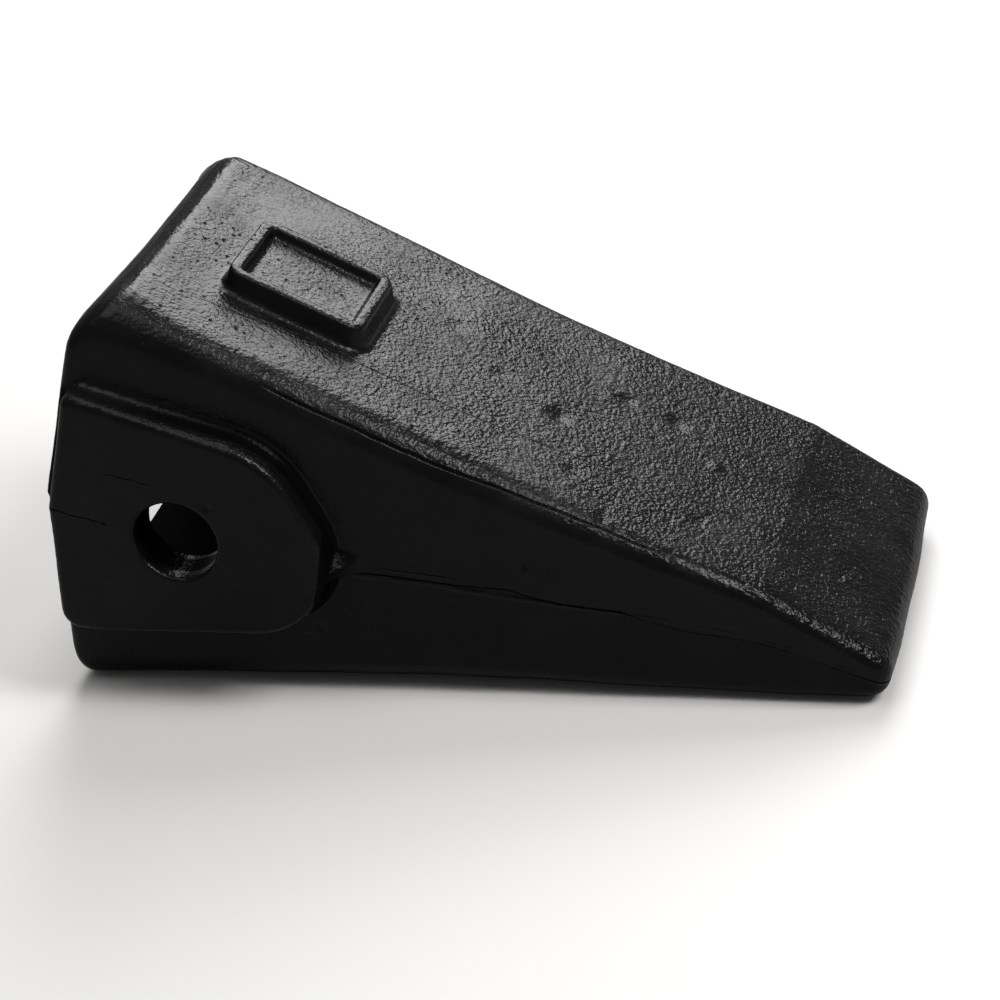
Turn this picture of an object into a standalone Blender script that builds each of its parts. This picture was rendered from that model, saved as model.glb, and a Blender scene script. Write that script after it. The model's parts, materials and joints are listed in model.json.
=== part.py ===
"""Cast bucket tooth: a drafted wedge with a tapered socket, two pinned ears and a raised plate.

The tooth is laid out in its casting frame. The mould halves met in the plane Z = 0, X runs from
the rear face to the cutting edge and Y runs across. It is then laid down on its lower face.
"""

from math import acos
from math import atan2
from math import cos
from math import hypot
from math import pi
from math import radians
from math import sin
from math import sqrt
from math import tan

import bmesh
import bpy
from mathutils import Vector

NAME = "bucket_tooth"

# Wedge. Heights are measured from the mould's parting plane.
LENGTH = 0.220
TIP_BEVEL_LENGTH = 0.036
REAR_TOP = 0.0608
BREAK_TOP = 0.0185
TIP_TOP = 0.0060
REAR_BOTTOM = 0.0610
TIP_BOTTOM = 0.0057
TOP_HOLLOW = 0.0015
TOP_HOLLOW_SCALE = 27.0 / 4.0
BOTTOM_HOLLOW = 0.0013
BOTTOM_HOLLOW_SCALE = 16.0
REAR_HALF_WIDTH = 0.0557
TIP_HALF_WIDTH = 0.0477
TIP_BOW = 0.0012

# Draft of the cast walls, and the fillets that join them.
UPPER_DRAFT = radians(1.5)
LOWER_DRAFT = radians(2.5)
REAR_EDGE_RADIUS = 0.0092
TIP_EDGE_RADIUS = 0.0050
REAR_EDGE_SWELL = 0.0055
REAR_EDGE_REACH = 0.018
RIM_SIDE_RADIUS = 0.0034
RIM_CROWN_RADIUS = 0.0060
RIM_BASE_RADIUS = 0.0060
TIP_ROUND = 0.0044

# Parting line: a small step in the side walls that dips behind the ears and rises near the tip.
PARTING_STEP = 0.0008
PARTING_DIP = 0.0044
PARTING_RISE = 0.0062
PARTING_CROSSING = 0.45
PARTING_SKEW = 1.6

# Rear face, proud at the parting plane, drafted back above and below it and hollow across.
REAR_PROUD = 0.0073
REAR_UPPER_DRAFT = radians(3.1)
REAR_LOWER_DRAFT = radians(10.0)
REAR_CROWN_REACH = 0.016
REAR_CROWN_SETBACK = 0.0094
REAR_HOLLOW = 0.0012
REAR_BLEND = 0.040
REAR_FACE_REACH = 0.020
REAR_FACE_RINGS = (1.0, 0.6)

# Pin bore through both ears.
PIN_X = 0.0318
PIN_RADIUS = 0.0114
PIN_CHAMFER = 0.0007

# Ears: a flat pad on each wall. Its outline wraps circles given as (x, z, radius, steps).
EAR_PROUD = 0.0063
EAR_SHOULDER_AHEAD = 0.0076
EAR_NOSE_AHEAD = 0.0182
EAR_UPPER_CORNER = (0.0059, 0.0324, 0.0032, 4)
EAR_SHOULDER = (PIN_X + EAR_SHOULDER_AHEAD, 0.0041, 0.0280, 8)
EAR_NOSE = (PIN_X + EAR_NOSE_AHEAD, -0.0015, 0.0230, 14)
EAR_BELLY = (0.0077, 0.0045, 0.0400, 3)
EAR_LOWER_CORNER = (0.0077, -0.0310, 0.0050, 5)
EAR_SIDE_DRAFT = radians(4.0)
EAR_FOOT_RADIUS = 0.0018
EAR_CREST_RADIUS = 0.0023
EAR_ROOT = 0.0100

# Socket for the adapter's nose.
SOCKET_DEPTH = 0.098
SOCKET_CROWN_WALL = 0.0165
SOCKET_SIDE_WALL = 0.0060
SOCKET_END_HALF_HEIGHT = 0.0220
SOCKET_SIDE_DRAFT = radians(1.2)
SOCKET_CORNER_RADIUS = 0.0130
SOCKET_END_RADIUS = 0.0080
SOCKET_LIP_RADIUS = 0.0022

# Raised plate with a sunk field on the upper face.
PLATE_X = 0.0463
PLATE_Y = -0.0045
PLATE_LENGTH = 0.0366
PLATE_WIDTH = 0.0315
PLATE_HEIGHT = 0.0062
PLATE_CORNER_RADIUS = 0.0034
PLATE_RIM_WIDTH = 0.0021
PLATE_FIELD_DEPTH = 0.0028
PLATE_FIELD_CHAMFER = 0.0004
PLATE_FOOT_RADIUS = 0.0018
PLATE_CREST_RADIUS = 0.0009
PLATE_SIDE_DRAFT = radians(14.0)
PLATE_ROOT = 0.0030

# Faceting of the curved stretches.
ARC_STEPS = 7
ROUND_STEPS = 4
FLAT_STEPS = 6
WEDGE_STATIONS = 12
BEVEL_STATIONS = 4
EDGE_STEPS = 4
PIN_STEPS = 56
LEAST_RADIUS = 0.0005
FILLET_LIMIT = 0.9
FILLET_START = radians(18.0)
CUT_MARGIN = 0.010
SEAM_GAP = 0.00001
SMOOTH_ANGLE = radians(32.0)

PAINT_COLOUR = (0.018, 0.018, 0.019, 1.0)
PAINT_ROUGHNESS = 0.42
PAINT_METALLIC = 0.0

BREAK_X = LENGTH - TIP_BEVEL_LENGTH
EAR_HALF_WIDTH = REAR_HALF_WIDTH + EAR_PROUD
EAR_CIRCLES = (EAR_UPPER_CORNER, EAR_SHOULDER, EAR_NOSE, EAR_BELLY, EAR_LOWER_CORNER)


def mix(start, end, share):
    """Value a share of the way from start to end."""
    return start + (end - start) * share


def ease(share):
    """Smooth step of a share held between 0 and 1."""
    held = min(max(share, 0.0), 1.0)
    return held * held * (3.0 - 2.0 * held)


def rounding(distance, radius):
    """How far a rounded end draws a surface in at a distance from that end."""
    short = min(max(1.0 - distance / radius, 0.0), 1.0)
    return radius * (1.0 - sqrt(1.0 - short * short))


def top_line(x):
    """Height of the upper face above the parting plane: a slightly hollow slope, then the tip bevel."""
    if x > BREAK_X:
        return mix(BREAK_TOP, TIP_TOP, (x - BREAK_X) / TIP_BEVEL_LENGTH)
    share = x / BREAK_X
    hollow = TOP_HOLLOW * TOP_HOLLOW_SCALE * share * share * (1.0 - share)
    return mix(REAR_TOP, BREAK_TOP, share) - hollow


def bottom_line(x):
    """Depth of the lower face below the parting plane, arched so that its two ends carry it."""
    share = x / LENGTH
    hollow = BOTTOM_HOLLOW * BOTTOM_HOLLOW_SCALE * (share * (1.0 - share)) ** 2
    return mix(REAR_BOTTOM, TIP_BOTTOM, share) - hollow


def half_width(x):
    """Half of the width at the parting line."""
    return mix(REAR_HALF_WIDTH, TIP_HALF_WIDTH, x / LENGTH)


def edge_radius(x):
    """Fillet along the four long edges, tighter toward the tip."""
    share = (x - 0.5 * BREAK_X) / (0.5 * BREAK_X)
    return mix(REAR_EDGE_RADIUS, TIP_EDGE_RADIUS, ease(share))


def corner_swell(x):
    """Extra fillet radius that rounds the two upper rear corners."""
    return REAR_EDGE_SWELL * max(1.0 - x / REAR_EDGE_REACH, 0.0) ** 2


def parting_line(x):
    """Height at which the mould halves met on the side walls."""
    share = min(max(x / LENGTH, 0.0), 1.0)
    if share < PARTING_CROSSING:
        return -PARTING_DIP * sin(pi * share / PARTING_CROSSING)
    ahead = (share - PARTING_CROSSING) / (1.0 - PARTING_CROSSING)
    return PARTING_RISE * sin(pi * ahead ** PARTING_SKEW)


def wall_at(x, z):
    """Half width of the drafted side wall at a height."""
    height = z - parting_line(x)
    draft = UPPER_DRAFT if height > 0.0 else LOWER_DRAFT
    return half_width(x) - abs(height) * tan(draft)


def rear_shift(y, z):
    """Place of the rear face along X: drafted, eased back under its crown and hollow across."""
    draft = REAR_UPPER_DRAFT if z > 0.0 else REAR_LOWER_DRAFT
    crown = max(z - REAR_TOP + REAR_CROWN_REACH, 0.0) / REAR_CROWN_REACH
    across = max(1.0 - (y / REAR_HALF_WIDTH) ** 2, 0.0)
    return abs(z) * tan(draft) + REAR_CROWN_SETBACK * crown ** 2 + REAR_HOLLOW * across - REAR_PROUD


def rear_blend(x, y, z):
    """X of a point near the rear, moved with the drafted rear face."""
    share = min(max(1.0 - x / REAR_BLEND, 0.0), 1.0)
    return x + rear_shift(y, z) * share


def arc(centre_a, centre_b, radius, start, end, steps):
    """Points on a circular arc."""
    angles = [mix(start, end, i / steps) for i in range(steps + 1)]
    return [(centre_a + radius * cos(a), centre_b + radius * sin(a)) for a in angles]


def between(first, last, steps):
    """Points inside the straight line from first to last, without its ends."""
    shares = [i / steps for i in range(1, steps)]
    return [(mix(first[0], last[0], s), mix(first[1], last[1], s)) for s in shares]


def rounded_box(half_a, half_b, radius, steps):
    """Anticlockwise outline of a rectangle with round corners."""
    held = max(min(radius, half_a - LEAST_RADIUS, half_b - LEAST_RADIUS), LEAST_RADIUS)
    a = half_a - held
    b = half_b - held
    outline = arc(a, b, held, 0.0, 0.5 * pi, steps)
    outline += arc(-a, b, held, 0.5 * pi, pi, steps)
    outline += arc(-a, -b, held, pi, 1.5 * pi, steps)
    outline += arc(a, -b, held, 1.5 * pi, 2.0 * pi, steps)
    return outline


def new_object(name, bm, collection):
    """Object made from a bmesh, which is freed."""
    bmesh.ops.recalc_face_normals(bm, faces=bm.faces)
    mesh = bpy.data.meshes.new(name)
    bm.to_mesh(mesh)
    bm.free()
    made = bpy.data.objects.new(name, mesh)
    collection.objects.link(made)
    return made


def loft(rings):
    """Closed bmesh through rings of equal count, capped at both ends."""
    bm = bmesh.new()
    rows = [[bm.verts.new(point) for point in ring] for ring in rings]
    count = len(rings[0])
    for row, following in zip(rows, rows[1:]):
        for i in range(count):
            j = (i + 1) % count
            bm.faces.new((row[i], row[j], following[j], following[i]))
    bm.faces.new(rows[0])
    bm.faces.new(rows[-1])
    return bm


def wedge_corner(side, x, inset):
    """Right half of a wedge section above (side 1) or below (side -1) the parting line."""
    draft = UPPER_DRAFT if side > 0 else LOWER_DRAFT
    face = top_line(x) if side > 0 else bottom_line(x)
    rim_radius = RIM_CROWN_RADIUS if side > 0 else RIM_BASE_RADIUS
    tip_inset = rounding(LENGTH - x, TIP_ROUND)
    side_inset = inset + tip_inset + rounding(x, RIM_SIDE_RADIUS)
    step = 0.0 if side > 0 else PARTING_STEP
    reach = face - inset - tip_inset - rounding(x, rim_radius)
    wall = half_width(x) - side_inset - step
    start = side * parting_line(x) + step
    swell = corner_swell(x) if side > 0 else 0.0
    radius = max(edge_radius(x) + swell - inset - tip_inset, LEAST_RADIUS)
    radius = min(radius, FILLET_LIMIT * (reach - start))
    centre_z = reach - radius
    centre_y = wall - (centre_z - start) * tan(draft) - radius / cos(draft)
    corner = arc(centre_y, centre_z, radius, draft, 0.5 * pi, ARC_STEPS)
    return [(y, side * z) for y, z in [(wall, start)] + corner]


def wedge_ring(x, inset):
    """Section of the wedge at x, drawn in by the inset across the rear face."""
    upper = wedge_corner(1, x, inset)
    lower = wedge_corner(-1, x, inset)
    top_left = (-upper[-1][0], upper[-1][1])
    bottom_left = (-lower[-1][0], lower[-1][1])
    outline = upper + between(upper[-1], top_left, FLAT_STEPS)
    outline += [(-y, z) for y, z in reversed(upper)]
    outline += [(-y, z) for y, z in lower]
    outline += between(bottom_left, lower[-1], FLAT_STEPS)
    outline += list(reversed(lower))
    width = half_width(x)
    bow = TIP_BOW * ease((x - BREAK_X) / TIP_BEVEL_LENGTH)
    return [(rear_blend(x, y, z) + bow * (1.0 - (y / width) ** 2), y, z) for y, z in outline]


def wedge_stations():
    """Places and insets of the sections, from the rear rim to the cutting edge."""
    turns = [sin(0.5 * pi * i / ROUND_STEPS) for i in range(ROUND_STEPS + 1)]
    front = LENGTH - TIP_ROUND
    rim = [RIM_SIDE_RADIUS * (1.0 - turn) for turn in reversed(turns)]
    crown = [mix(RIM_SIDE_RADIUS, RIM_CROWN_RADIUS, i / ROUND_STEPS) for i in range(1, ROUND_STEPS)]
    slope = [mix(RIM_CROWN_RADIUS, BREAK_X, i / WEDGE_STATIONS) for i in range(WEDGE_STATIONS)]
    bevel = [mix(BREAK_X, front, i / BEVEL_STATIONS) for i in range(BEVEL_STATIONS)]
    tip = [front + TIP_ROUND * turn for turn in turns]
    stations = [(0.0, REAR_FACE_REACH * share) for share in REAR_FACE_RINGS]
    stations += [(x, 0.0) for x in rim + crown + slope + bevel + tip]
    return stations


def make_wedge(collection):
    """Body of the tooth before its ears, plate and hollows."""
    bm = loft([wedge_ring(*station) for station in wedge_stations()])
    bm.verts.ensure_lookup_table()
    opposite = 2 * ARC_STEPS + FLAT_STEPS + 2
    bmesh.ops.connect_verts(bm, verts=[bm.verts[0], bm.verts[opposite]])
    return new_object(NAME, bm, collection)


def tangent_turn(first, second):
    """Direction of the outward normal where a line runs from one circle to the next, clockwise."""
    across = second[0] - first[0]
    up = second[1] - first[1]
    return atan2(up, across) + acos((first[2] - second[2]) / hypot(across, up))


def ear_outline(offset):
    """Clockwise outline of an ear in X and Z, grown by offset everywhere but at the rear edge."""
    back = EAR_UPPER_CORNER[0], EAR_LOWER_CORNER[0]
    circles = []
    for x, z, radius, steps in EAR_CIRCLES:
        shift = max(offset, 0.0) if x in back else 0.0
        circles.append((x + shift, z, radius + offset, steps))
    turns = [tangent_turn(*pair) for pair in zip(circles, circles[1:] + circles[:1])]
    outline = []
    for i, (x, z, radius, steps) in enumerate(circles):
        sweep = (turns[i - 1] - turns[i]) % (2.0 * pi)
        bend = arc(x, z, radius, turns[i - 1], turns[i - 1] - sweep, steps)
        if outline:
            outline += between(outline[-1], bend[0], EDGE_STEPS)
        outline += bend
    rear = mix(outline[-1][0], outline[0][0], 0.5)
    outline.append((rear, 0.0))
    return [(rear_blend(x, EAR_HALF_WIDTH, z), z) for x, z in outline]


def boss_profile(foot, crest, draft, height):
    """Offsets and heights up the side of a drafted boss with a foot fillet and a rounded crest."""
    angles = [mix(FILLET_START, 0.5 * pi - draft, i / ROUND_STEPS) for i in range(ROUND_STEPS + 1)]
    side = [(foot * (1.0 - sin(a)), foot * (1.0 - cos(a))) for a in angles]
    start_offset, start_height = side[-1]
    crest_base = height - crest * (1.0 - sin(draft))
    crest_edge = start_offset - (crest_base - start_height) * tan(draft)
    centre = crest_edge - crest * cos(draft)
    rise = [mix(draft, 0.5 * pi, i / ROUND_STEPS) for i in range(ROUND_STEPS + 1)]
    side += [(centre + crest * cos(a), height - crest + crest * sin(a)) for a in rise]
    return side


def ear_ring(side, offset, share):
    """Ring of an ear part of the way up from the wedge's wall to the ear's face."""
    ring = []
    for x, z in ear_outline(offset):
        wall = wall_at(x, z)
        ring.append((x, side * mix(wall, EAR_HALF_WIDTH, share), z))
    return ring


def make_ear(side, collection):
    """Pad on one side wall that carries the pin."""
    height = EAR_HALF_WIDTH - wall_at(EAR_NOSE[0], 0.0)
    profile = boss_profile(EAR_FOOT_RADIUS, EAR_CREST_RADIUS, EAR_SIDE_DRAFT, height)
    profile.insert(0, (profile[0][0], -EAR_ROOT))
    rings = [ear_ring(side, offset, rise / height) for offset, rise in profile]
    name = "ear_near" if side < 0 else "ear_far"
    return new_object(name, loft(rings), collection)


def plate_ring(offset, height):
    """Ring of the raised plate, following the slope of the upper face."""
    outline = rounded_box(
        0.5 * PLATE_LENGTH + offset,
        0.5 * PLATE_WIDTH + offset,
        PLATE_CORNER_RADIUS + offset,
        ROUND_STEPS,
    )
    ring = []
    for along, across in outline:
        x = PLATE_X + along
        ring.append((x, PLATE_Y + across, top_line(x) + height))
    return ring


def make_plate(collection):
    """Raised plate: a drafted frame round a sunk field."""
    outer = boss_profile(PLATE_FOOT_RADIUS, PLATE_CREST_RADIUS, PLATE_SIDE_DRAFT, PLATE_HEIGHT)
    crest_offset = outer[-1][0]
    profile = [(offset - crest_offset, height) for offset, height in outer]
    profile.insert(0, (profile[0][0], -PLATE_ROOT))
    floor = PLATE_HEIGHT - PLATE_FIELD_DEPTH
    lean = PLATE_FIELD_DEPTH * tan(PLATE_SIDE_DRAFT)
    edge = -PLATE_RIM_WIDTH
    inner = [
        (edge, PLATE_HEIGHT),
        (edge - PLATE_FIELD_CHAMFER, PLATE_HEIGHT - PLATE_FIELD_CHAMFER),
        (edge - PLATE_FIELD_CHAMFER - lean, floor + PLATE_FIELD_CHAMFER),
        (edge - 2.0 * PLATE_FIELD_CHAMFER - lean, floor),
    ]
    rings = [plate_ring(offset, height) for offset, height in profile + inner]
    return new_object("plate", loft(rings), collection)


def socket_ring(x, inset):
    """Section of the socket at x, drawn in at its end and drawn out at its lip."""
    share = x / SOCKET_DEPTH
    mouth_height = REAR_TOP - SOCKET_CROWN_WALL
    height = mix(mouth_height, SOCKET_END_HALF_HEIGHT, share) - inset
    width = REAR_HALF_WIDTH - SOCKET_SIDE_WALL - x * tan(SOCKET_SIDE_DRAFT) - inset
    outline = rounded_box(width, height, SOCKET_CORNER_RADIUS - inset, ARC_STEPS)
    return [(rear_blend(x, y, z), y, z) for y, z in outline]


def make_socket(collection):
    """Tapered hollow that the adapter's nose fills, with a rounded lip and end."""
    angles = [mix(FILLET_START, 0.5 * pi, i / ROUND_STEPS) for i in range(ROUND_STEPS + 1)]
    lip = [(SOCKET_LIP_RADIUS * (1.0 - cos(a)), -SOCKET_LIP_RADIUS * (1.0 - sin(a))) for a in angles]
    rings = [socket_ring(x, inset) for x, inset in lip]
    mouth = [(-REAR_PROUD - CUT_MARGIN, y, z) for x, y, z in rings[0]]
    start = SOCKET_DEPTH - SOCKET_END_RADIUS
    quarter = [0.5 * pi * i / ROUND_STEPS for i in range(ROUND_STEPS + 1)]
    middle = [(mix(SOCKET_LIP_RADIUS, start, i / EDGE_STEPS), 0.0) for i in range(1, EDGE_STEPS)]
    end = [(start + SOCKET_END_RADIUS * sin(a), SOCKET_END_RADIUS * (1.0 - cos(a))) for a in quarter]
    rings += [socket_ring(x, inset) for x, inset in middle + end]
    return new_object("socket", loft([mouth] + rings), collection)


def make_pin_bore(collection):
    """Turned cutter through both ears, opened out by a chamfer at each face."""
    reach = EAR_HALF_WIDTH + CUT_MARGIN
    wide = PIN_RADIUS + PIN_CHAMFER
    throat = EAR_HALF_WIDTH - PIN_CHAMFER
    profile = [(0.0, reach), (wide, reach), (wide, EAR_HALF_WIDTH), (PIN_RADIUS, throat)]
    profile += [(radius, -height) for radius, height in reversed(profile)]
    bm = bmesh.new()
    chain = [bm.verts.new((radius, 0.0, height)) for radius, height in profile]
    for first, second in zip(chain, chain[1:]):
        bm.edges.new((first, second))
    mesh = bpy.data.meshes.new("pin_bore")
    bm.to_mesh(mesh)
    bm.free()
    bore = bpy.data.objects.new("pin_bore", mesh)
    collection.objects.link(bore)
    bore.location = (PIN_X, 0.0, 0.0)
    bore.rotation_euler = (0.5 * pi, 0.0, 0.0)
    turn = bore.modifiers.new("turn", "SCREW")
    turn.axis = "Z"
    turn.steps = PIN_STEPS
    turn.render_steps = PIN_STEPS
    turn.use_merge_vertices = True
    turn.merge_threshold = SEAM_GAP
    return bore


def combine(body, tool, operation):
    """Boolean modifier on the body; the tool itself stays a wire guide."""
    modifier = body.modifiers.new(tool.name, "BOOLEAN")
    modifier.operation = operation
    modifier.solver = "EXACT"
    modifier.object = tool
    tool.hide_render = True
    tool.display_type = "WIRE"


def paint():
    """Black semi-gloss paint over the cast skin."""
    material = bpy.data.materials.new("black_paint")
    material.use_nodes = True
    shader = material.node_tree.nodes["Principled BSDF"]
    shader.inputs["Base Color"].default_value = PAINT_COLOUR
    shader.inputs["Roughness"].default_value = PAINT_ROUGHNESS
    shader.inputs["Metallic"].default_value = PAINT_METALLIC
    material.diffuse_color = PAINT_COLOUR
    return material


def lay_down(frame, body):
    """Turn the casting frame so that the tooth rests on its lower face, centred over the origin."""
    heel_x = RIM_BASE_RADIUS
    toe_x = LENGTH - TIP_ROUND
    rise = bottom_line(heel_x) - bottom_line(toe_x)
    frame.rotation_euler = (0.0, atan2(rise, toe_x - heel_x), 0.0)
    bpy.context.view_layer.update()
    solid = body.evaluated_get(bpy.context.evaluated_depsgraph_get())
    points = [solid.matrix_world @ vertex.co for vertex in solid.data.vertices]
    lowest = Vector(min(point[axis] for point in points) for axis in range(3))
    highest = Vector(max(point[axis] for point in points) for axis in range(3))
    frame.location = (-0.5 * (lowest.x + highest.x), -0.5 * (lowest.y + highest.y), -lowest.z)
    bpy.context.view_layer.update()


def shade(body):
    """Smooth shading, kept crisp where faces meet at a clear angle."""
    body.data.shade_smooth()
    body.data.set_sharp_from_angle(angle=SMOOTH_ANGLE)


def clear_scene():
    """Remove what the scene starts with."""
    for found in list(bpy.data.objects):
        bpy.data.objects.remove(found, do_unlink=True)


def new_collection(name):
    """Collection linked under the scene."""
    made = bpy.data.collections.new(name)
    bpy.context.scene.collection.children.link(made)
    return made


def main():
    """Build the tooth from its wedge, ears, plate and hollows."""
    clear_scene()
    parts = new_collection(NAME)
    tools = new_collection("cutters")
    frame = bpy.data.objects.new("casting_frame", None)
    parts.objects.link(frame)
    body = make_wedge(parts)
    added = [make_ear(-1, tools), make_ear(1, tools), make_plate(tools)]
    removed = [make_socket(tools), make_pin_bore(tools)]
    for tool in added:
        combine(body, tool, "UNION")
    for tool in removed:
        combine(body, tool, "DIFFERENCE")
    for piece in [body] + added + removed:
        piece.parent = frame
    body.data.materials.append(paint())
    shade(body)
    lay_down(frame, body)


main()
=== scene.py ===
"""Dress a cast bucket tooth: black paint over a sand-cast skin, on a plain pale stage.

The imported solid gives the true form. Its skin is remeshed evenly, then worked in the casting
frame, where the mould halves met at Z = 0 and X runs from the rear face to the cutting edge.
"""

import json
from math import atan2
from math import cos
from math import hypot
from math import pi
from math import radians
from math import sin

import bmesh
import bpy
from mathutils import Matrix
from mathutils import Vector
from mathutils import noise


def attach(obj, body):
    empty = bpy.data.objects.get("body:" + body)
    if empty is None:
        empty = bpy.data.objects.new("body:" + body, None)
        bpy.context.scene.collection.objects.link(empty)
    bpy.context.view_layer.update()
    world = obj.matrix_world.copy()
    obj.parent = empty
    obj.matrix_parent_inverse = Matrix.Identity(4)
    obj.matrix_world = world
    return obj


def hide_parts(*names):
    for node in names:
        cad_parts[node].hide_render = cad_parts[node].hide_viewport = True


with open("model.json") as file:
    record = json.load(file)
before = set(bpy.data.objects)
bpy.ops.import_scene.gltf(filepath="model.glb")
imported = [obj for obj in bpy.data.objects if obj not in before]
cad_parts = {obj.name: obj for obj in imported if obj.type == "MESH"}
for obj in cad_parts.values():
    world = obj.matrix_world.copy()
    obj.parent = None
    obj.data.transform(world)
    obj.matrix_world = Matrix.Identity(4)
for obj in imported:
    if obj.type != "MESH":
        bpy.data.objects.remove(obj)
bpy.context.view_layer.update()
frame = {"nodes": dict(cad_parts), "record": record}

bl_info = {
    "name": "Cast Bucket Tooth",
    "version": (1, 0, 0),
    "blender": (4, 5, 0),
    "location": "3D View > Sidebar > Tooth",
    "description": "Cast skin, black paint and a pale stage for a bucket tooth",
    "category": "Add Mesh",
}

NODE = "bucket_tooth"
BODY = "root"
MM = 0.001

# True form, in metres of the casting frame.
LENGTH = 0.220
BREAK_X = 0.184
SOCKET_DEPTH = 0.098
REAR_HALF_WIDTH = 0.0557
TIP_HALF_WIDTH = 0.0477
PARTING_DIP = 0.0044
PARTING_RISE = 0.0062
PARTING_CROSSING = 0.45
PARTING_SKEW = 1.6
EAR_TIP_X = 0.0730

# Hollow for the adapter's nose, painted dark and dull: painted shade inside it, partly also its
# dull casting scale.
SOCKET_HALF_WIDTH = 0.0500
SOCKET_MOUTH_HEIGHT = 0.0465
SOCKET_TAPER = 0.245
SOCKET_SIDE_BLUR = 0.0005
SOCKET_BLUR = 0.001

# Space of the socket as the mesh work sees it, just inside its walls.
SOCKET_MARGIN = 0.003
INSIDE_MOUTH_HEIGHT = 0.046
INSIDE_END_HEIGHT = 0.024
THINNEST_WALL = 0.005

# Weld and mesh of the visible skin.
SEAM_GAP = 0.00002
CRISP_BEND = radians(5.0)

# Which way a face of the skin has to look to count as upper face or as wall, and how far
# below a wall's true surface a place still belongs to it.
UP_FROM = 0.55
SIDE_FROM = 0.6
FACING_BLUR = 0.3
WALL_SKIN = 0.004

# Leathery relief: its fractal, its share on the walls and what the upper face adds.
PEEL_DIMENSION = 0.9
PEEL_LACUNARITY = 2.0
PEEL_OCTAVES = 3
PEEL_ON_WALLS = 0.35
PEEL_ADDED_ON_TOP = 0.65

# Places of the wandering parting line on the walls as (x, z), in millimetres.
PARTING_POINTS = (
    (60.0, -4.4),
    (72.0, -2.9),
    (87.0, -0.7),
    (105.0, 1.0),
    (119.0, 3.4),
    (126.0, 2.5),
    (133.0, 2.7),
    (149.0, 4.5),
    (161.0, 3.0),
    (168.0, 3.0),
    (181.0, 4.4),
    (189.0, 4.7),
    (198.0, 3.0),
    (207.0, 2.3),
    (220.0, 0.2),
)
PARTING_STEP = 0.0008
PARTING_BLUR = 0.0005

# Flash along the parting line on each wall, from just behind the tip of the ear.
FLASH_START = EAR_TIP_X - 0.003
FLASH_HEIGHT = 0.00015
FLASH_RAGGEDNESS = 0.4
FLASH_WIDTH = 0.0008
FLASH_LIFT = 0.0008
FLASH_SPACING = 0.0045
FLASH_REACH = 0.0020

# Groove under the flash, and the short fold above it, both sunk and painted dark as shade.
GROOVE_START = 0.0745
GROOVE_RUN_IN = 0.003
GROOVE_HALF_WIDTH = 0.00052
FOLD_START = 0.0830
FOLD_END = 0.1060
FOLD_RUN_IN = 0.004
FOLD_LIFT = 0.0021
FOLD_HALF_WIDTH = 0.00030

# Ramp of metal that runs from each ear's nose down to the flash.
EAR_HALF_WIDTH = 0.0620
WEB_START = 0.0692
WEB_END = 0.0815
WEB_TOP = 0.0010
WEB_FADE = 0.0062
WEB_SKIN = 0.003

# Scratch and crease on the upper face as (x, y), in millimetres of the casting frame.
SCRATCH_POINTS = (
    (24.0, -31.0),
    (50.0, -26.0),
    (92.0, -26.0),
    (123.0, -23.0),
    (144.0, -20.0),
    (167.0, -18.0),
    (186.0, -16.0),
    (206.0, -14.0),
)
CREASE_POINTS = (
    (0.0, -51.2),
    (51.0, -50.5),
    (86.0, -49.6),
    (113.0, -48.1),
    (141.0, -47.0),
    (156.0, -46.8),
    (220.0, -45.0),
)
SCRATCH_HALF_WIDTH = 0.00030
CREASE_HALF_WIDTH = 0.00045

# Range of heights and widths that the curves of the painted lines cover.
CURVE_LOW = -0.070
CURVE_HIGH = 0.010

# Flow wrinkles across the upper face, beside the rear edge.
WRINKLE_REACH = 0.030
WRINKLE_SPACING = 0.0036
WRINKLE_WANDER = 0.0022
WRINKLE_WANDER_SIZE = 0.012

# Stage. Directions are azimuth from +Y toward +X, then elevation, in degrees.
TARGET = Vector((0.0, 0.0, 0.055))
CAMERA_PLACE = (0.1956913, -0.6305590, 0.3956238)
CAMERA_TURN = (60.964, 6.220, 13.872)
KEY_DIRECTION = (-4.0, 36.0)
UPPER_DIRECTION = (-4.0, 63.0)
OVERHEAD_DIRECTION = (203.0, 72.0)
SIDE_DIRECTION = (104.0, 50.0)
LAMP_DISTANCE = 1.3
FLOOR_RADIUS = 6.0
FLOOR_SEGMENTS = 96
FLOOR_GAP = 0.0003
FLOOR_SEEN = 2.65
FLOOR_PALEST = 0.86
FLOOR_TONE_SIZE = 0.9
FLOOR_TONE_RANGE = (-1.0, 1.0)
FLOOR_DARKER = 0.97
FLOOR_ROUGHNESS = 0.9
FLOOR_SPECULAR = 0.1
WORLD_SEEN = 0.9

# How much wider a dent's soft rim is than its radius.
DENT_SPREAD = 1.5

# Dents in the upper face as (x, y, radius, depth), in millimetres of the casting frame.
TOP_DENTS = (
    (118.8, -6.7, 3.4, 0.60),
    (133.2, 15.7, 2.8, 0.40),
    (148.0, 15.0, 3.0, 0.40),
    (139.3, -43.5, 2.6, 0.45),
    (100.0, 0.6, 2.6, 0.30),
    (161.9, 2.0, 2.0, -0.45),
    (143.6, -45.5, 1.6, 0.50),
    (162.6, -26.1, 2.4, 0.35),
    (127.5, -29.4, 2.6, 0.35),
    (84.0, 14.0, 3.0, 0.30),
)

# Dents in the near wall as (x, z, radius, depth), in millimetres of the casting frame.
WALL_DENTS = (
    (39.2, 12.8, 1.5, 0.60),
    (122.2, 11.8, 1.4, 0.60),
    (128.5, 11.2, 1.2, 0.50),
    (70.7, -23.2, 1.6, 0.80),
    (68.2, -26.6, 1.3, 0.60),
    (76.9, -16.4, 1.3, 0.50),
    (91.6, -6.6, 1.2, 0.40),
    (104.8, -2.7, 1.4, 0.40),
    (134.2, -0.4, 1.2, 0.40),
)

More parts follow.
